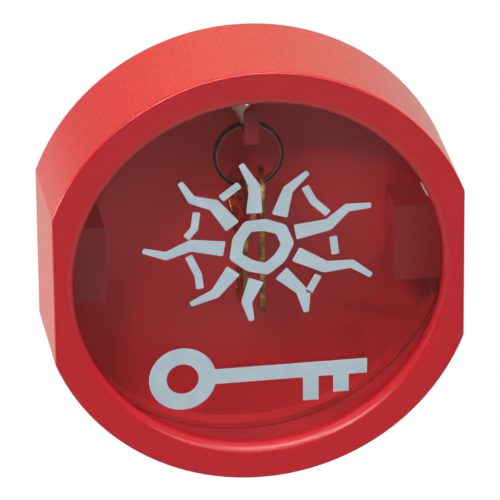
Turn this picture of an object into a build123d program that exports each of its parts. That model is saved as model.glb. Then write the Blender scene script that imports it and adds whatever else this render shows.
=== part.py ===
from build123d import *
from math import cos, pi, radians, sin, sqrt, tan
import os

# Round wall box that keeps two keys behind a breakable glass disc.
# Frame: the origin is the centre of the wall face, +X is right, +Z is up and the glass faces -Y.
# A "level" is a distance in front of the wall, so it is a -Y coordinate. All sizes are millimetres.

# Opening, glass and clips
opening_radius = 52.7
lip_round = 2.4               # the rounded front edge of the opening
lip_width = 2.0
lip_depth = 3.5               # from the front face to the glass
glass_seat = 2.3              # width of the band of glass that lies on the lip
glass_thickness = 2.0
glass_clearance = 0.3         # round the glass, in its rim
glass_edge_chamfer = 0.3
rim_width = 1.5
clip_space = 4.7              # between the rim and the round wall, filled by the clips' posts
flat_space = 0.6              # between the rim and the wall of a flat
clip_width = 4.8
clip_thickness = 0.8
clip_end_gap = 0.7            # from the outer end of a clip to the wall
clip_overlap = 1.6            # of a clip on the glass when it is pushed right home
loose_clip_overlap = 2.9      # of the one clip that stands a little further in
clip_corner = 0.7
clip_angle = 24.5             # of each clip above or below the glass's level diameter, in degrees
loose_clip = "upper_right"
clip_screw_radius = 0.8
clip_screw_length = 3.6
clip_screw_head_radius = 1.6
clip_screw_head_height = 1.0
clip_screw_head_chamfer = 0.4
clip_screw_recess = 1.8       # length of each arm of the cross recess
clip_screw_recess_width = 0.5
clip_screw_recess_depth = 0.6

# Cover
box_depth = 36.6              # from the wall to the front face
draft_angle = 0.38            # of the moulded walls, in degrees, so that they leave their tool
outline_corner = 3.0          # where a flat meets the round
cover_wall = 2.5
wall_gap = 0.3                # from the cover's rear edge to the wall
face_edge_round = 0.8
flange_thickness = 2.5

# Screw towers inside the flats
tower_reach = 14.4            # from the wall of the flat to the tower's inner face
tower_half_height = 11.5
tower_wall = 2.0
tower_rib = 1.6               # across the middle of the hollow
tower_gap = 0.1               # from the tower's open end to the back plate
tower_post_radius = 3.2
tower_post_end = 3.6          # of solid post beyond the tip of its screw
cover_screw_radius = 1.45
cover_screw_length = 13.0
cover_screw_head_radius = 2.8
cover_screw_head_height = 1.6
cover_screw_recess = 2.8      # length of each arm of the cross recess
cover_screw_recess_width = 0.7
cover_screw_recess_depth = 0.9
pilot_spare = 1.0             # depth of a screw's hole beyond its tip
screw_clearance = 0.05
plate_hole_clearance = 0.2

# Back plate
plate_thickness = 2.6
plate_clearance = 0.25        # round the plate, inside the cover
skirt_width = 1.6
skirt_height = 5.4
skirt_tower_gap = 1.5         # from a tower to the end of the skirt beside it
keyhole_x = 25.0
keyhole_z = 47.0              # of the wall screw when the box hangs on it
keyhole_drop = 6.2            # from the wall screw to the middle of the entry hole
keyhole_entry_radius = 4.0
keyhole_slot_radius = 2.2
keyhole_room = 3.0            # depth of the room for the screw head, in front of the plate
keyhole_roof = 1.4
keyhole_wall = 1.6

# Hook
hook_width = 4.0
hook_top_z = 38.4
hook_top_radius = 4.0         # of the arm's crowned top, which the ring rocks on
hook_thickness = 2.7
hook_length = 20.6            # from the back plate to the front of the lip
hook_lip_thickness = 2.2
hook_lip_height = 7.6
hook_lip_round = 1.6
window_side = 0.5             # of the moulding window over the arm, past each side of the lip
window_top = 0.5              # of the window, above the lip
gusset_width = 2.4
gusset_length = 9.4
gusset_height = 6.8
gusset_front_height = 0.6

# Split ring
ring_distance = 13.0          # from the back plate to the middle of the ring
ring_radius = 10.0
ring_strip_width = 1.0        # measured along the ring's radius
ring_strip_thickness = 0.8
ring_coil_gap = 0.08
ring_step_angle = 34.0        # of the step from one turn to the other
ring_step_points = 8          # of the curve that the step climbs
ring_step_place = 81.0        # angle of the step's middle, from +X towards +Z
ring_hook_clearance = 0.2

# Keys
key_thickness = 1.7
key_edge_chamfer = 0.2
key_bow_radius = 8.8
key_panel_rim = 1.5           # round the sunk panel on each face of the bow
key_panel_depth = 0.2
key_hole_radius = 3.0
key_ring_gap = 1.0            # from the ring's strip to the top of the key's hole
key_bridge = 2.9              # metal left between the hole and the top of the bow
key_neck_width = 8.6
key_neck_length = 2.4         # from the bow to the shoulder
key_blade_width = 6.2
key_blade_lengths = {"key_1": 21.4, "key_2": 25.6}
key_tip_length = 2.6          # of the slope on the edge with the cuts
key_tip_back_length = 2.1     # of the slope on the plain edge
key_tip_x = 0.85              # of the point, from the middle of the blade
key_front_groove_x = -1.8     # middle of each face's groove, from the middle of the blade
key_back_groove_x = 0.9
key_groove_width = 1.3
key_groove_depth = 0.45
key_cut_pitch = 3.2
key_first_cut = 3.6           # from the shoulder
key_cut_flat = 0.9
key_cuts = {"key_1": (1.2, 2.2, 0.9, 1.9, 1.4), "key_2": (1.8, 0.8, 2.1, 1.2, 2.0)}
key_offsets = {"key_1": -2.2, "key_2": 3.6}
key_1_angle = 16.0            # each key turned from square to the wall, in degrees
key_2_angle = -6.0

# Worked out from the sizes above
glass_radius = opening_radius + glass_seat
glass_front_level = box_depth - lip_depth
glass_rear_level = glass_front_level - glass_thickness
rim_inner_radius = glass_radius + glass_clearance
key_angles = {"key_1": key_1_angle, "key_2": key_2_angle}
clip_angles = {"upper_right": clip_angle, "upper_left": 180 - clip_angle,
               "lower_left": 180 + clip_angle, "lower_right": -clip_angle}
inner_radius = rim_inner_radius + clip_space
inner_half_flat = rim_inner_radius + flat_space
face_radius = inner_radius + cover_wall
face_half_flat = inner_half_flat + cover_wall
flange_level = box_depth - flange_thickness
post_radius = clip_space / 2
post_circle_radius = rim_inner_radius + post_radius
tower_inner_x = inner_half_flat - tower_reach
tower_roof_level = cover_screw_length + tower_post_end
tower_level = tower_roof_level + tower_wall
cover_screw_x = inner_half_flat - (tower_reach - tower_wall) / 2
cover_screw_z = (tower_rib / 2 + tower_half_height - tower_wall) / 2
keyhole_pad_level = plate_thickness + keyhole_room + keyhole_roof
hook_level = plate_thickness + hook_length
hook_bottom_z = hook_top_z - hook_thickness
ring_level = plate_thickness + ring_distance
ring_pivot_z = hook_top_z - hook_top_radius
hook_shoulder_z = ring_pivot_z + sqrt(hook_top_radius ** 2 - (hook_width / 2) ** 2)
ring_inner_radius = ring_radius - ring_strip_width
ring_strip_radius = ring_radius - ring_strip_width / 2
ring_centre_z = hook_top_z + ring_hook_clearance - ring_inner_radius
key_hole_drop = key_hole_radius - ring_strip_width / 2 - key_ring_gap


def drafted(inset, low, high):
    """A solid between two levels that stays an inset inside the cover's outline."""
    growth = (box_depth - low) * tan(radians(draft_angle))
    radius = face_radius + growth - inset
    half_flat = face_half_flat + growth - inset
    corner = max(outline_corner - inset, outline_corner / 2)
    shape = Circle(radius) & Rectangle(2 * half_flat, 2 * radius)
    shape = Plane.XZ.offset(low) * fillet(shape.vertices(), corner)
    return extrude(shape, amount=high - low, taper=draft_angle)


def prism(sketch, low, high):
    """A sketch in X and Z, pulled forwards from one level to another."""
    return extrude(Plane.XZ.offset(low) * sketch, amount=high - low)


def disc(x, z, radius, low, high):
    return prism(Pos(x, z) * Circle(radius), low, high)


def block(x_one, x_other, z_low, z_high, low, high):
    middle = Pos((x_one + x_other) / 2, (z_low + z_high) / 2)
    return prism(middle * Rectangle(abs(x_other - x_one), z_high - z_low), low, high)


def tube(outer, inner, low, high):
    return prism(Circle(outer) - Circle(inner), low, high)


def from_side(points, width):
    """A plate of a given width about X = 0, from points (level, z) seen from the side."""
    view = make_face(Polyline([(-level, z) for level, z in points], close=True))
    return extrude(Plane.YZ * view, amount=width / 2, both=True)


# Fasteners

def screw(radius, length, head, recess_length, recess_width, recess_depth):
    """A screw that points forwards, with a cross recess, from a head whose top is at level 0."""
    tip = radius * 1.2
    shank = Pos(0, 0, (length - tip) / 2) * Cylinder(radius, length - tip)
    point = Pos(0, 0, length - tip / 2) * Cone(radius, radius / 3, tip)
    body = head + shank + point
    for turn in (0, 90):
        body -= Rot(0, 0, turn) * Box(recess_length, recess_width, 2 * recess_depth)
    return Rot(90, 0, 0) * body


def cover_screw_places():
    return [(sx * cover_screw_x, sz * cover_screw_z) for sx in (-1, 1) for sz in (-1, 1)]


def clip_screw_places():
    return [(post_circle_radius * cos(radians(angle)), post_circle_radius * sin(radians(angle)))
            for angle in clip_angles.values()]


def cover_screws():
    height = cover_screw_head_height
    head = Pos(0, 0, height / 2) * Cone(cover_screw_head_radius, cover_screw_radius, height)
    one = screw(cover_screw_radius, cover_screw_length, head,
                cover_screw_recess, cover_screw_recess_width, cover_screw_recess_depth)
    return Compound(children=[Pos(x, 0, z) * one for x, z in cover_screw_places()])


def clip_screws():
    height = clip_screw_head_height
    head = Pos(0, 0, height / 2) * Cylinder(clip_screw_head_radius, height)
    head = chamfer(head.edges().sort_by(Axis.Z)[0], clip_screw_head_chamfer)
    one = screw(clip_screw_radius, clip_screw_length, head,
                clip_screw_recess, clip_screw_recess_width, clip_screw_recess_depth)
    level = glass_rear_level - clip_thickness - height
    return Compound(children=[Pos(x, -level, z) * one for x, z in clip_screw_places()])


# Cover

def cover_shell():
    body = drafted(0, wall_gap, box_depth)
    body = fillet(body.faces().sort_by(Axis.Y)[0].outer_wire().edges(), face_edge_round)
    body -= drafted(cover_wall, 0, flange_level)
    body += tube(opening_radius + lip_width, opening_radius / 2, glass_front_level, flange_level)
    body += glass_rim() & drafted(cover_wall / 2, 0, box_depth - flange_thickness / 2)
    for side in (-1, 1):
        body += screw_tower(side)
    body -= disc(0, 0, opening_radius, glass_front_level, box_depth)
    front_face = body.faces().sort_by(Axis.Y)[0]
    return fillet(front_face.inner_wires()[0].edges(), lip_round)


def glass_rim():
    """The round wall that centres the glass, with a drilled post for each clip."""
    rim = tube(rim_inner_radius + rim_width, rim_inner_radius, glass_rear_level, flange_level)
    hole_level = glass_rear_level - clip_thickness - clip_screw_head_height + clip_screw_length
    for x, z in clip_screw_places():
        post = disc(x, z, post_radius, glass_rear_level, flange_level)
        rim += post - disc(x, z, clip_screw_radius + screw_clearance, glass_rear_level, hole_level)
    return rim


def screw_tower(side):
    """A hollow block on a flat, open to the back plate, with a post for each cover screw."""
    low = plate_thickness + tower_gap
    flat_middle = side * (inner_half_flat + cover_wall / 2)
    hollow_inner = side * (tower_inner_x + tower_wall)
    hollow_half = tower_half_height - tower_wall
    tower = block(side * tower_inner_x, flat_middle, -tower_half_height, tower_half_height, low, tower_level)
    hollow = block(hollow_inner, side * inner_half_flat, -hollow_half, hollow_half, low, tower_roof_level)
    rib = block(hollow_inner, side * inner_half_flat, -tower_rib / 2, tower_rib / 2, low, tower_roof_level)
    hollow -= rib
    for sz in (-1, 1):
        x, z = side * cover_screw_x, sz * cover_screw_z
        hollow -= disc(x, z, tower_post_radius, low, tower_roof_level)
        hollow += disc(x, z, cover_screw_radius + screw_clearance, low, cover_screw_length + pilot_spare)
    return tower - hollow


def glass_pane():
    pane = disc(0, 0, glass_radius, glass_rear_level, glass_front_level)
    return chamfer(pane.edges().filter_by(GeomType.CIRCLE), glass_edge_chamfer)


def glass_clip(place):
    """A flat spring strip that lies on its post and on the rear of the glass."""
    outer = inner_radius - clip_end_gap
    inner = glass_radius - (loose_clip_overlap if place == loose_clip else clip_overlap)
    strip = Pos((inner + outer) / 2, 0) * RectangleRounded(outer - inner, clip_width, clip_corner)
    strip -= Pos(post_circle_radius, 0) * Circle(clip_screw_radius + screw_clearance)
    return prism(Rot(0, 0, clip_angles[place]) * strip, glass_rear_level - clip_thickness, glass_rear_level)


# Back plate

def back_plate():
    edge = cover_wall + plate_clearance
    plate = drafted(edge, 0, plate_thickness) + skirt(edge)
    for side in (-1, 1):
        plate += keyhole_pad(side * keyhole_x)
        plate -= keyhole(side * keyhole_x)
    plate -= hook_window()
    plate += hook()
    for x, z in cover_screw_places():
        hole_radius = cover_screw_radius + plate_hole_clearance
        plate -= disc(x, z, hole_radius, 0, plate_thickness)
        height = cover_screw_head_height
        sink = Cone(cover_screw_head_radius + screw_clearance, hole_radius, height)
        plate -= Pos(x, -height / 2, z) * Rot(90, 0, 0) * sink
    return plate


def skirt(edge):
    """The low wall that the cover slides over, left open beside each tower."""
    low, high = plate_thickness, plate_thickness + skirt_height
    gap_half = tower_half_height + skirt_tower_gap
    wall = drafted(edge, low, high) - drafted(edge + skirt_width, low, high)
    return wall - block(-face_radius, face_radius, -gap_half, gap_half, low, high)


def keyhole(x):
    """The space of a blind keyhole: an entry, a slot, and room for a wall screw's head behind them."""
    entry = Pos(x, keyhole_z - keyhole_drop) * Circle(keyhole_entry_radius)
    middle = Pos(x, keyhole_z - keyhole_drop / 2) * Rot(0, 0, 90)
    slot = middle * SlotCenterToCenter(keyhole_drop, 2 * keyhole_slot_radius)
    room = middle * SlotCenterToCenter(keyhole_drop, 2 * keyhole_entry_radius)
    way_in = prism(entry + slot, 0, plate_thickness)
    return way_in + prism(room, plate_thickness, plate_thickness + keyhole_room)


def keyhole_pad(x):
    middle = Pos(x, keyhole_z - keyhole_drop / 2) * Rot(0, 0, 90)
    outline = SlotCenterToCenter(keyhole_drop, 2 * (keyhole_entry_radius + keyhole_wall))
    return prism(middle * outline, plate_thickness, keyhole_pad_level)


def hook_window():
    """The opening that the tool's core reaches through to form the space behind the hook's lip."""
    half = hook_width / 2 + window_side
    top_z = hook_top_z + hook_lip_height + window_top
    return block(-half, half, hook_shoulder_z, top_z, 0, plate_thickness)


def hook():
    """A crowned arm with an upturned lip, and a gusset under its root."""
    half = hook_width / 2
    straight = Pos(0, hook_top_z - hook_thickness / 2) * Rectangle(hook_width, hook_thickness)
    arm = prism(straight & Pos(0, ring_pivot_z) * Circle(hook_top_radius), 0, hook_level)
    lip = block(-half, half, hook_bottom_z, hook_top_z + hook_lip_height,
                hook_level - hook_lip_thickness, hook_level)
    lip = fillet(lip.edges().filter_by(Axis.Y).group_by(Axis.Z)[-1], hook_lip_round)
    top_z = hook_bottom_z + ring_hook_clearance / 2
    bottom_z = hook_bottom_z - gusset_height
    front = plate_thickness + gusset_length
    back = plate_thickness / 2
    gusset = from_side([(back, top_z), (front, top_z), (front, hook_bottom_z - gusset_front_height),
                        (plate_thickness, bottom_z), (back, bottom_z)], gusset_width)
    return arm + lip + gusset


# Ring and keys

def split_ring():
    """A flat strip wound nearly twice round: two flat turns and the step that joins them."""
    pitch = ring_strip_thickness + ring_coil_gap
    section = Plane.XZ * Pos(ring_strip_radius, 0) * Rectangle(ring_strip_width, ring_strip_thickness)
    turn = revolve(section, axis=Axis.Z, revolution_arc=360 - ring_step_angle)
    climb = []
    for number in range(ring_step_points + 1):
        share = number / ring_step_points
        angle = radians((share - 1) * ring_step_angle)
        height = pitch * (1 - cos(share * pi)) / 2
        climb.append((ring_strip_radius * cos(angle), ring_strip_radius * sin(angle), height))
    start = radians(-ring_step_angle)
    step_path = Spline(climb, tangents=[(-sin(start), cos(start), 0), (0, 1, 0)])
    step = sweep(Rot(0, 0, -ring_step_angle) * section, path=step_path,
                 binormal=Edge.make_line((0, 0, 0), (0, 0, 1)))
    strip = Pos(0, 0, -pitch / 2) * turn.fuse(step, Pos(0, 0, pitch) * turn)
    turned = Rot(90, 0, 0) * Rot(0, 0, ring_step_angle / 2 + ring_step_place) * strip
    return Pos(0, -ring_level, ring_centre_z) * turned


def key_blade(name, shoulder_z, tip_z):
    """The flat shape of a key's neck and blade, with its cuts."""
    half = key_blade_width / 2
    bow_z = shoulder_z + key_neck_length + key_bow_radius
    neck = Pos(0, (shoulder_z + bow_z) / 2) * Rectangle(key_neck_width, bow_z - shoulder_z)
    shape = neck + make_face(Polyline(
        (-half, bow_z), (half, bow_z), (half, tip_z + key_tip_length),
        (key_tip_x, tip_z), (-half, tip_z + key_tip_back_length), close=True))
    for number, depth in enumerate(key_cuts[name]):
        z = shoulder_z - key_first_cut - number * key_cut_pitch
        spread = key_cut_flat / 2 + depth
        shape -= make_face(Polyline(
            (half, z + spread), (half - depth, z + key_cut_flat / 2),
            (half - depth, z - key_cut_flat / 2), (half, z - spread), close=True))
    return shape


def key(name):
    """A key on the ring's strip, with its hole's middle at the origin until it is turned into place."""
    bow_z = key_hole_radius + key_bridge - key_bow_radius
    shoulder_z = bow_z - key_bow_radius - key_neck_length
    tip_z = shoulder_z - key_blade_lengths[name]
    shape = Pos(0, bow_z) * Circle(key_bow_radius) + key_blade(name, shoulder_z, tip_z)
    body = extrude(shape - Circle(key_hole_radius), amount=key_thickness / 2, both=True)
    body = chamfer(body.faces().sort_by(Axis.Z)[-1].edges(), key_edge_chamfer)
    body = chamfer(body.faces().sort_by(Axis.Z)[0].edges(), key_edge_chamfer)
    panel = Pos(0, bow_z) * Circle(key_bow_radius - key_panel_rim) - Circle(key_hole_radius + key_panel_rim)
    panel -= Pos(0, bow_z + key_bow_radius) * Rectangle(2 * key_bow_radius, 2 * key_hole_radius)
    for side, groove_x in ((1, key_front_groove_x), (-1, key_back_groove_x)):
        groove = Box(key_groove_width, shoulder_z - tip_z, 2 * key_groove_depth)
        body -= Pos(groove_x, (shoulder_z + tip_z) / 2, side * key_thickness / 2) * groove
        body -= Pos(0, 0, side * key_thickness / 2) * extrude(panel, amount=key_panel_depth, both=True)
    strip_z = ring_centre_z - sqrt(ring_strip_radius ** 2 - key_offsets[name] ** 2)
    upright = Rot(0, 0, 90 + key_angles[name]) * Rot(90, 0, 0) * body
    return Pos(key_offsets[name], -ring_level, strip_z - key_hole_drop) * upright


os.makedirs("parts", exist_ok=True)
export_step(back_plate(), "parts/back_plate.step")
export_step(cover_screws(), "parts/cover_screws.step")
export_step(cover_shell(), "parts/cover_shell.step")
export_step(glass_pane(), "parts/glass_pane.step")
for clip_place in clip_angles:
    export_step(glass_clip(clip_place), f"parts/glass_clip_{clip_place}.step")
export_step(clip_screws(), "parts/clip_screws.step")
export_step(split_ring(), "parts/split_ring.step")
for key_name in key_cuts:
    export_step(key(key_name), f"parts/{key_name}.step")
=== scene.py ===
from math import atan2, cos, hypot, pi, radians, sin, sqrt

import bmesh
import bpy
from mathutils import Matrix, Vector


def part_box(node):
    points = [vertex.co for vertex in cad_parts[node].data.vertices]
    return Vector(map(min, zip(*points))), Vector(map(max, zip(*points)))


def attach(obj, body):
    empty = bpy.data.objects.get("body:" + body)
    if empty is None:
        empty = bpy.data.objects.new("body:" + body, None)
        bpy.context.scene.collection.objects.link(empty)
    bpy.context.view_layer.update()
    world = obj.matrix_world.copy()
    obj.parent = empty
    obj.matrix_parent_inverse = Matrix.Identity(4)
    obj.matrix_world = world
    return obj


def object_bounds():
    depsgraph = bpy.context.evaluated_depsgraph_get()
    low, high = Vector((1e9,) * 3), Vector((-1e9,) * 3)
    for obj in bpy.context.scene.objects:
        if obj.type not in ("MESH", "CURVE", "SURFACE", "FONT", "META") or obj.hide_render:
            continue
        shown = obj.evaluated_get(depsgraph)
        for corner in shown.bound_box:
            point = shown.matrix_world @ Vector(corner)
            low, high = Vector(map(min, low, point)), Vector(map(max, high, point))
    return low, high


# Break glass key box: finish, print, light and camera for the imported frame.
# Metres. +X is right, +Z is up, the glass faces -Y and the wall face is at y = 0.

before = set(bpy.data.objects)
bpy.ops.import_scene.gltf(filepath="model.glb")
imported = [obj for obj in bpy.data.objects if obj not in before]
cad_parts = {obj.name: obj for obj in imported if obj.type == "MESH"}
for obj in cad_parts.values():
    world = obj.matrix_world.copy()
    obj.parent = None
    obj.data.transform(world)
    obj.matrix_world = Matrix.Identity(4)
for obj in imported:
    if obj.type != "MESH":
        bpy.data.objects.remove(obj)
cad_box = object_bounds()
MM = 0.001
WHITE = (1, 1, 1, 1)


def srgb(r, g, b):
    """A colour written as 0-255 screen values, as the linear values that the nodes take."""
    def linear(v):
        v /= 255
        return v / 12.92 if v <= 0.04045 else ((v + 0.055) / 1.055) ** 2.4
    return (linear(r), linear(g), linear(b), 1.0)


class Nodes:
    """A small shorthand for building a node tree."""

    def __init__(self, owner):
        owner.use_nodes = True
        self.tree = owner.node_tree
        self.tree.nodes.clear()

    def add(self, kind, values=None, **settings):
        """A node whose inputs take the given values or links."""
        node = self.tree.nodes.new("ShaderNode" + kind)
        for name, value in settings.items():
            setattr(node, name, value)
        for name, value in (values or {}).items():
            if isinstance(value, bpy.types.NodeSocket):
                self.tree.links.new(value, node.inputs[name])
            else:
                node.inputs[name].default_value = value
        return node

    def math(self, operation, a, b=0.0):
        return self.add("Math", {0: a, 1: b}, operation=operation).outputs[0]

    def vector_math(self, operation, a, b, output):
        return self.add("VectorMath", {0: a, 1: b}, operation=operation).outputs[output]

    def noise(self, vector, scale, detail, roughness=0.5, distortion=0.0):
        return self.add("TexNoise", {"Vector": vector, "Scale": scale, "Detail": detail,
                                     "Roughness": roughness, "Distortion": distortion}).outputs["Fac"]

    def span(self, value, low, high, out_low=0.0, out_high=1.0):
        """A value's stretch from low to high, mapped to the stretch from out_low to out_high."""
        return self.add("MapRange", {"Value": value, "From Min": low, "From Max": high,
                                     "To Min": out_low, "To Max": out_high}, clamp=True).outputs["Result"]

    def mix(self, factor, a, b):
        node = self.add("Mix", data_type="RGBA")
        for socket, value in ((node.inputs[0], factor), (node.inputs[6], a), (node.inputs[7], b)):
            if isinstance(value, bpy.types.NodeSocket):
                self.tree.links.new(value, socket)
            else:
                socket.default_value = value
        return node.outputs[2]

    def bump(self, height, distance, strength, normal=None):
        values = {"Height": height, "Distance": distance, "Strength": strength}
        if normal is not None:
            values["Normal"] = normal
        return self.add("Bump", values).outputs["Normal"]

    def output(self, shader, kind="OutputMaterial"):
        self.add(kind, {"Surface": shader.outputs[0]})


# Where the red mouldings change their look, in metres. A level is a distance from the wall, a radius is a
# distance from the box's middle line, and a reach is how far out a face lies along its own normal. Each
# pair is the stretch over which one look fades into the other.
front_level = -cad_box[0][1]
flange_levels = (front_level - 2.0 * MM, front_level - 1.4 * MM)
inside_front_levels = (front_level - 2.6 * MM, front_level - 2.0 * MM)
inside_rear_levels = (8.0 * MM, 10.0 * MM)
outer_reaches = (30.0 * MM, 45.0 * MM)
edge_radii = (57.5 * MM, 58.5 * MM)
flange_dish = 0.12            # how strongly the flange's shading dips towards the opening


def red_plastic(name, painted_brightness, inside_shade):
    """Moulded red plastic: spark texture outside, satin in front, painted shade on the flange and inside.
    """
    # painted light: painted_brightness scales every colour of the moulding, so one moulding renders
    # brighter than the other
    def shade(r, g, b):
        return tuple(painted_brightness * value for value in srgb(r, g, b)[:3]) + (1,)

    material = bpy.data.materials.new(name)
    n = Nodes(material)
    where = n.add("TexCoord")
    spot = where.outputs["Object"]
    x, y, z = n.add("SeparateXYZ", {0: spot}).outputs
    normal_x, normal_y, normal_z = n.add("SeparateXYZ", {0: where.outputs["Normal"]}).outputs
    level = n.math("MULTIPLY", y, -1.0)
    radius = n.vector_math("LENGTH", n.add("CombineXYZ", {0: x, 1: z}).outputs[0], (0, 0, 0), "Value")
    sideways = n.add("CombineXYZ", {0: normal_x, 2: normal_z}).outputs[0]
    reach = n.vector_math("DOT_PRODUCT", spot, sideways, "Value")
    ahead = n.math("ABSOLUTE", normal_y)

    # Masks: faces to the front, faces not quite square to it, rounded edges, outer wall, flange, inside
    front = n.span(ahead, 0.35, 0.85)
    slanted = n.span(ahead, 0.93, 0.99, 1.0, 0.0)
    edge = n.math("MULTIPLY", n.span(ahead, 0.15, 0.3), slanted)
    outside = n.math("MULTIPLY", n.span(reach, *outer_reaches), 0.9)
    rim = n.math("MULTIPLY", front, n.span(level, *flange_levels))
    behind_flange = n.span(level, *inside_front_levels, 1.0, 0.0)
    inside = n.math("MULTIPLY", behind_flange, n.span(level, *inside_rear_levels))

    cloud = n.noise(spot, 28.0, 2.0)
    grain = n.noise(spot, 2000.0, 1.0, 0.6)
    fine = n.noise(spot, 240.0, 3.0, 0.6)
    swell = n.noise(spot, 60.0, 2.0)

    colour = n.mix(n.span(cloud, 0.35, 0.65), shade(182, 29, 39), shade(188, 33, 43))
    spark = n.mix(n.span(grain, 0.36, 0.64), shade(160, 24, 28), shade(209, 38, 43))
    colour = n.mix(n.math("MULTIPLY", n.math("SUBTRACT", 1.0, front), outside), colour, spark)
    # painted shade: the flange's front face takes a darker red than the rest of the moulding
    colour = n.mix(rim, colour, shade(170, 26, 35))
    # painted shade: faces to the front deep inside the box, such as the hook's lip and the screw towers,
    # take the darker inside_shade colour
    colour = n.mix(n.math("MULTIPLY", inside, front), colour, shade(*inside_shade))

    rough = n.math("ADD", n.span(front, 0.0, 1.0, 0.33, 0.3), n.span(fine, 0.3, 0.7, -0.01, 0.01))
    polish = n.span(radius, *edge_radii, 0.02, 0.18)
    rough = n.math("SUBTRACT", rough, n.math("MULTIPLY", edge, polish))

    normal = n.bump(n.math("MULTIPLY", grain, slanted), 0.00006, 0.8)
    normal = n.bump(swell, 0.00012, 0.3, normal)
    normal = n.mix(rim, normal, n.bump(radius, flange_dish, 1.0, normal))
    shader = n.add("BsdfPrincipled", {
        "Base Color": colour, "Roughness": rough, "IOR": 1.49, "Specular IOR Level": 0.5,
        "Normal": normal})
    n.output(shader)
    return material


def clear_glass():
    """Float glass with a faint green edge, clear to the lamps' light."""
    material = bpy.data.materials.new("float_glass")
    n = Nodes(material)
    spot = n.add("TexCoord").outputs["Object"]
    smear = n.noise(spot, 45.0, 4.0, 0.6, 0.6)
    rough = n.span(smear, 0.5, 0.8, 0.0, 0.035)
    shader = n.add("BsdfPrincipled", {
        "Base Color": srgb(250, 254, 252), "Roughness": rough, "IOR": 1.5,
        "Transmission Weight": 1.0})
    passing = n.add("BsdfTransparent", {"Color": srgb(246, 251, 249)})
    path = n.add("LightPath")
    indirect = n.math("MAXIMUM", path.outputs["Is Shadow Ray"], path.outputs["Is Diffuse Ray"])
    n.output(n.add("MixShader", {0: indirect, 1: shader.outputs[0], 2: passing.outputs[0]}))
    return material


def print_ink():
    """Matt screen ink, pale blue grey, a little uneven in thickness."""
    material = bpy.data.materials.new("screen_ink")
    n = Nodes(material)
    spot = n.add("TexCoord").outputs["Object"]
    patch = n.noise(spot, 160.0, 3.0, 0.6)
    mesh = n.noise(spot, 2200.0, 1.0)
    colour = n.mix(n.span(patch, 0.3, 0.7), srgb(151, 168, 177), srgb(162, 178, 186))
    shader = n.add("BsdfPrincipled", {
        "Base Color": colour, "Roughness": n.span(patch, 0.3, 0.7, 0.5, 0.62),
        "Specular IOR Level": 0.3, "Normal": n.bump(mesh, 0.00002, 0.5)})
    n.output(shader)
    return material


def metal(name, light, dark, roughness, scale, brushed=None, tarnish_and_painted_reflection=0.5, wear=0.00003,
          metallic=1.0, wave=0.0, painted_highlight=None):
    """A plated or bare metal whose colour darkens in clouds, with fine drawn scratches. The darkening is
    the zinc and the clip being tarnished, and painted dark reflection on the keys and the ring; on the
    keys the bright colour left between stands for painted glints.

    `brushed` stretches the scratches, `wave` is how far the surface swells under the clouds, and
    `painted_highlight` is a middle and two distances from it, within which the metal is painted pale as a
    highlight."""
    material = bpy.data.materials.new(name)
    n = Nodes(material)
    spot = n.add("TexCoord").outputs["Object"]
    cloud = n.noise(spot, scale, 4.0, 0.6, 0.3)
    lines = spot
    if brushed:
        lines = n.add("Mapping", {"Vector": spot, "Scale": brushed}).outputs[0]
    scratch = n.noise(lines, scale * 7, 3.0, 0.65)
    # tarnished clouds on the zinc and the clip; painted dark reflection on the keys and the ring
    share = n.math("MULTIPLY", n.span(cloud, 0.36, 0.66), tarnish_and_painted_reflection)
    colour = n.mix(share, light, dark)
    if painted_highlight:
        middle, inner_edge, outer_edge = painted_highlight
        distance = n.vector_math("DISTANCE", spot, middle, "Value")
        # painted highlight: within the given distance of the middle the metal takes a pale colour
        colour = n.mix(n.span(distance, inner_edge, outer_edge, 1.0, 0.0), colour, srgb(236, 206, 184))
    rough = n.math("ADD", n.span(cloud, 0.3, 0.7, *roughness),
                   n.span(scratch, 0.3, 0.7, -0.05, 0.05))
    shader = n.add("BsdfPrincipled", {
        "Base Color": colour, "Metallic": metallic, "Roughness": rough,
        "Normal": n.bump(scratch, wear, 0.5, n.bump(cloud, wave, 0.6))})
    n.output(shader)
    return material


# Finishes of the carried-over CAD nodes
# painted light: the plate's reds are 1.2 times as bright as the cover's; the last colour of each is its
# painted inside shade
cover_red = red_plastic("red_cover_plastic", 1.0, (160, 26, 34))
plate_red = red_plastic("red_plate_plastic", 1.2, (140, 24, 31))
zinc = metal("zinc_plate", srgb(206, 200, 194), srgb(164, 158, 152), (0.28, 0.42), 300.0)
# painted reflection: the clip's near-white pink colour stands for the lit red moulding that it reflects
spring = metal("spring_steel", srgb(252, 226, 216), srgb(228, 204, 196), (0.4, 0.5), 220.0,
               brushed=(1, 1, 12), metallic=0.4)
ring_low, ring_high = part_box("split_ring")
ring_middle = tuple((low + high) / 2 for low, high in zip(ring_low, ring_high))
# painted highlight: a pale band along the split ring's inner edge
ring_bright_edge = (ring_high[0] - ring_low[0]) / 2 - 0.8 * MM
# painted reflection: the ring's dark brown colours stand for the dark red box that it reflects
nickel = metal("ring_nickel", srgb(112, 90, 66), srgb(44, 32, 26), (0.12, 0.2), 200.0, tarnish_and_painted_reflection=0.85,
               painted_highlight=(ring_middle, ring_bright_edge, ring_bright_edge + 0.2 * MM))
# painted reflection: the keys' dark clouds stand for the dark box they reflect, and the bright gold left
# between for painted glints
brass = metal("key_brass", srgb(252, 208, 124), srgb(52, 30, 16), (0.1, 0.24), 320.0,
              brushed=(1, 1, 8), tarnish_and_painted_reflection=0.8, wear=0.00012, wave=0.0008)
glass = clear_glass()
finishes = {"back_plate": plate_red, "cover_shell": cover_red, "cover_screws": zinc, "clip_screws": zinc,
            "glass_pane": glass, "split_ring": nickel, "key_1": brass, "key_2": brass}
for name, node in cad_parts.items():
    material = finishes.get(name, spring)
    for slot in node.material_slots:
        slot.material = material


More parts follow.
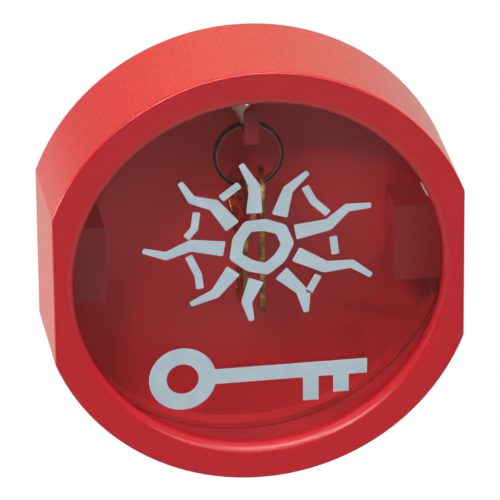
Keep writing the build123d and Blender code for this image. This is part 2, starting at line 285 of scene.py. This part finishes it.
# The print on the glass: a crack star over a plain key sign, in millimetres across and up the pane
def stroke(points, widths):
    """The outline of a mitred stroke along points, with a width at each."""
    sides = ([], [])
    for i, (x, z) in enumerate(points):
        before = points[max(i - 1, 0)]
        after = points[min(i + 1, len(points) - 1)]
        dx, dz = after[0] - before[0], after[1] - before[1]
        length = hypot(dx, dz)
        half = widths[i] / 2
        sides[0].append((x - dz / length * half, z + dx / length * half))
        sides[1].append((x + dz / length * half, z - dx / length * half))
    return sides[0] + sides[1][::-1]


def arc(cx, cz, radius, start, end, steps):
    """Points along an arc between two angles in degrees, both ends included."""
    return [(cx + radius * cos(radians(start + (end - start) * i / steps)),
             cz + radius * sin(radians(start + (end - start) * i / steps))) for i in range(steps + 1)]


def rounded(points, radius, steps=4):
    """Points with each corner rounded off, less where two corners are close."""
    out = []
    count = len(points)
    for i in range(count):
        p, a, b = Vector(points[i]), Vector(points[i - 1]), Vector(points[(i + 1) % count])
        to_a, to_b = a - p, b - p
        cut = min(radius, to_a.length * 0.4, to_b.length * 0.4)
        start, end = p + to_a.normalized() * cut, p + to_b.normalized() * cut
        for k in range(steps + 1):
            t = k / steps
            out.append(tuple((1 - t) ** 2 * start + 2 * t * (1 - t) * p + t * t * end))
    return out


star_x, star_z = 0.8, 8.5
crack_start = 10.4
crack_widths = (4.6, 1.6)     # where a crack starts and where it ends
shard_width = 2.2
stroke_corner = 0.4           # radius that rounds the corners of cracks and shards
cracks = [                    # each is a list of distances and bearings from the star's middle
    [(crack_start, 20), (20.0, 15), (26.5, 22), (33.0, 18)],
    [(crack_start, 59), (18.5, 65), (25.5, 58)],
    [(crack_start, 100), (18.5, 95), (26.0, 102)],
    [(crack_start, 140), (19.0, 134), (25.0, 141), (31.0, 137)],
    [(crack_start, 180), (20.0, 175), (27.0, 182), (33.5, 178)],
    [(crack_start, 221), (19.0, 226), (26.0, 219)],
    [(crack_start, 262), (17.5, 256), (23.0, 263)],
    [(crack_start, 303), (18.5, 308), (25.0, 301)],
    [(crack_start, 342), (20.0, 337), (27.0, 344), (33.5, 340)]]
shards = [[(21.0, 24), (19.6, 40), (21.4, 54)], [(20.2, 107), (19.0, 126)],
          [(21.6, 147), (20.0, 160), (21.6, 169)], [(20.6, 184), (19.4, 203), (21.0, 214)],
          [(20.4, 311), (19.2, 328)], [(21.6, 349), (20.6, 4)]]
middle_corner, hole_corner = 1.0, 0.8
middle_radii = [9.4, 8.4, 9.2, 8.6, 9.6, 8.4, 9.2, 8.6, 9.5]
hole_radii = [5.6, 4.7, 5.4, 4.9, 5.8, 4.7, 5.4, 4.9, 5.7]

sign_z = -31.0
bow_x, bow_radius, bow_hole = -22.0, 9.6, 4.6
bow_steps = 48                # straight pieces that draw the bow's outline, and its hole
bar_half, bar_end = 2.3, 31.0
teeth = [(12.5, 17.0, 9.6), (21.2, 25.7, 7.6)]    # left side, right side and depth below the bar's middle


def polar(radius, angle):
    return (star_x + radius * cos(radians(angle)), star_z + radius * sin(radians(angle)))


def facets(radii):
    """A closed polygon with one corner in each gap between two cracks."""
    bearings = [crack[0][1] for crack in cracks]
    nexts = bearings[1:] + [bearings[0] + 360]
    return [polar(radius, (a + b) / 2) for radius, a, b in zip(radii, bearings, nexts)]


def star():
    """The broken middle with its hole, the cracks that taper away from it, and the loose shards."""
    outlines = [rounded(facets(middle_radii), middle_corner), rounded(facets(hole_radii), hole_corner)]
    wide, narrow = crack_widths
    for crack in cracks:
        ends = len(crack) - 1
        widths = [wide - (wide - narrow) * i / ends for i in range(len(crack))]
        outlines.append(rounded(stroke([polar(*point) for point in crack], widths), stroke_corner, 2))
    for shard in shards:
        widths = [shard_width] * len(shard)
        outlines.append(rounded(stroke([polar(*point) for point in shard], widths), stroke_corner, 2))
    return outlines


def key_sign():
    """A round bow with a hole, and a bar with teeth on its lower side."""
    meet = atan2(bar_half, sqrt(bow_radius ** 2 - bar_half ** 2)) * 180 / pi
    outline = arc(bow_x, sign_z, bow_radius, meet, 360 - meet, bow_steps)
    for left, right, depth in teeth:
        outline += [(left, sign_z - bar_half), (left, sign_z - depth),
                    (right, sign_z - depth), (right, sign_z - bar_half)]
    outline += [(bar_end, sign_z - bar_half), (bar_end, sign_z + bar_half)]
    hole = arc(bow_x, sign_z, bow_hole, 0, 360 - 360 / bow_steps, bow_steps - 1)
    return [outline, hole]


def flat_print(name, outlines, level, thickness):
    """Outlines in millimetres, filled but for their holes, as a thin closed mesh in front of a level."""
    curve = bpy.data.curves.new(name, "CURVE")
    curve.dimensions = "2D"
    curve.fill_mode = "BOTH"
    curve.extrude = thickness / 2
    for points in outlines:
        spline = curve.splines.new("POLY")
        spline.points.add(len(points) - 1)
        spline.use_cyclic_u = True
        for point, (x, z) in zip(spline.points, points):
            point.co = (x, z, 0, 1)
    source = bpy.data.objects.new(name + "_curve", curve)
    bpy.context.scene.collection.objects.link(source)
    bpy.context.view_layer.update()
    mesh = bpy.data.meshes.new_from_object(source.evaluated_get(bpy.context.evaluated_depsgraph_get()))
    bpy.data.objects.remove(source)
    bpy.data.curves.remove(curve)
    mesh.transform(Matrix.Diagonal((MM, MM, MM, 1)))
    mesh.transform(Matrix.Rotation(pi / 2, 4, "X"))
    mesh.transform(Matrix.Translation((0, -(level + thickness / 2) * MM, 0)))
    shape = bmesh.new()
    shape.from_mesh(mesh)
    bmesh.ops.remove_doubles(shape, verts=shape.verts, dist=1e-7)
    bmesh.ops.recalc_face_normals(shape, faces=shape.faces)
    shape.to_mesh(mesh)
    shape.free()
    mesh.name = name
    piece = bpy.data.objects.new(name, mesh)
    bpy.context.scene.collection.objects.link(piece)
    return piece


pane_front = -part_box("glass_pane")[0][1] / MM
ink_thickness = 0.05
sign = flat_print("glass_print", star() + key_sign(), pane_front, ink_thickness)
sign.data.materials.clear()
sign.data.materials.append(print_ink())
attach(sign, "cover")


# Floor, surround, lamps and camera
front_glow = 0.14             # of what gloss and glass see in front of the box, where white behind is 1
warm_low = (1.0, 0.97, 0.86, 1)
warm_high = (1.0, 0.95, 0.62, 1)


def surround(owner, kind, lit_shader, shown_shader, lit, shade):
    """White to the camera. Gloss sees the shade's strength and colour, glass its strength in white."""
    n = Nodes(owner)
    path = n.add("LightPath")
    through = path.outputs["Is Transmission Ray"]
    strength, colour = shade(n)
    mirrored = n.add(shown_shader, {"Color": n.mix(through, colour, WHITE), "Strength": strength})
    plain = n.add(shown_shader, {"Color": WHITE, "Strength": 1.0})
    share = n.math("MAXIMUM", path.outputs["Is Glossy Ray"], through)
    hidden = n.add("MixShader", {0: share, 1: n.add(lit_shader, lit).outputs[0], 2: mirrored.outputs[0]})
    n.output(n.add("MixShader", {0: path.outputs["Is Camera Ray"], 1: hidden.outputs[0],
                                 2: plain.outputs[0]}), kind)


def floor_shade(n):
    """Dim in front of the box and white behind it."""
    depth = n.add("SeparateXYZ", {0: n.add("TexCoord").outputs["Object"]}).outputs[1]
    return n.span(depth, -1.2, -0.6, front_glow, 1.0), warm_low


def sky_shade(n):
    """Dim in front and to the left, white behind, and warmer higher up."""
    axes = n.add("SeparateXYZ", {0: n.add("TexCoord").outputs["Generated"]})
    warm = n.mix(n.span(axes.outputs[2], 0.0, 0.35), warm_low, warm_high)
    aside = n.span(axes.outputs[0], -0.4, 0.0, 0.4, 1.0)
    return n.math("MULTIPLY", aside, n.span(axes.outputs[1], -0.3, 0.3, front_glow, 1.0)), warm


floor_half = 4.0
floor_place = (0, 0.6, -0.32)
floor_grey = (0.8, 0.8, 0.8, 1)
sky_light = 0.1               # of the sky on surfaces, beside the lamps
floor_mesh = bpy.data.meshes.new("floor")
shape = bmesh.new()
bmesh.ops.create_grid(shape, x_segments=8, y_segments=8, size=floor_half)
shape.to_mesh(floor_mesh)
shape.free()
floor = bpy.data.objects.new("floor", floor_mesh)
floor.location = floor_place
bpy.context.scene.collection.objects.link(floor)
floor_material = bpy.data.materials.new("pale_floor")
surround(floor_material, "OutputMaterial", "BsdfDiffuse", "Emission", {"Color": floor_grey}, floor_shade)
floor_mesh.materials.append(floor_material)

world = bpy.data.worlds.new("studio")
bpy.context.scene.world = world
surround(world, "OutputWorld", "Background", "Background",
         {"Color": WHITE, "Strength": sky_light}, sky_shade)


def lamp(name, azimuth, elevation, distance, size, power, depth=0.0):
    """A soft lamp aimed at the box, round or, with a depth, oblong.

    Azimuth is in degrees from the front towards +X, lengths are in metres and power is in watts."""
    light = bpy.data.lights.new(name, "AREA")
    light.shape = "RECTANGLE" if depth else "DISK"
    light.size = size
    if depth:
        light.size_y = depth
    light.energy = power
    thing = bpy.data.objects.new(name, light)
    bpy.context.scene.collection.objects.link(thing)
    a, e = radians(azimuth), radians(elevation)
    place = Vector((sin(a) * cos(e), -cos(a) * cos(e), sin(e))) * distance
    thing.location = place
    thing.rotation_euler = (-place).to_track_quat("-Z", "Y").to_euler()


lamp("key_lamp_left", -33, 38, 1.5, 0.12, 3.0)
lamp("key_lamp_right", -27, 40, 1.5, 0.12, 3.0)
lamp("soft_left", -45, 39, 1.2, 0.5, 3.1)
lamp("soft_middle", 10, 39, 1.2, 0.5, 1.7)
lamp("soft_right", 45, 39, 1.2, 0.5, 3.1)
lamp("top_lamp", 0, 71, 1.2, 1.0, 13.4, 0.08)
lamp("side_lamp", -97, 4, 1.2, 0.5, 7.4)

# The camera's angles, target, distance and focal length, in pixels of a picture this wide
yaw, pitch, roll = radians(-8.6), radians(24.4), radians(-0.61)
target = Vector((0.13, -17.0, 0.17)) * MM
camera_distance = 1.5346
focal_pixels, picture_pixels = 5405.0, 500
sensor_width = 36.0

camera = bpy.data.objects.new("camera", bpy.data.cameras.new("camera"))
bpy.context.scene.collection.objects.link(camera)
back = Vector((sin(yaw) * cos(pitch), -cos(yaw) * cos(pitch), sin(pitch)))
right = (-back).cross(Vector((0, 0, 1))).normalized()
up = right.cross(-back)
right, up = cos(roll) * right + sin(roll) * up, -sin(roll) * right + cos(roll) * up
turned = Matrix((right, up, back)).transposed().to_4x4()
camera.matrix_world = Matrix.Translation(target + back * camera_distance) @ turned
camera.data.sensor_width = sensor_width
camera.data.lens = focal_pixels / picture_pixels * sensor_width
camera.data.clip_start = 0.01
camera.data.clip_end = 100
bpy.context.scene.camera = camera
bpy.context.scene.view_settings.view_transform = "Standard"
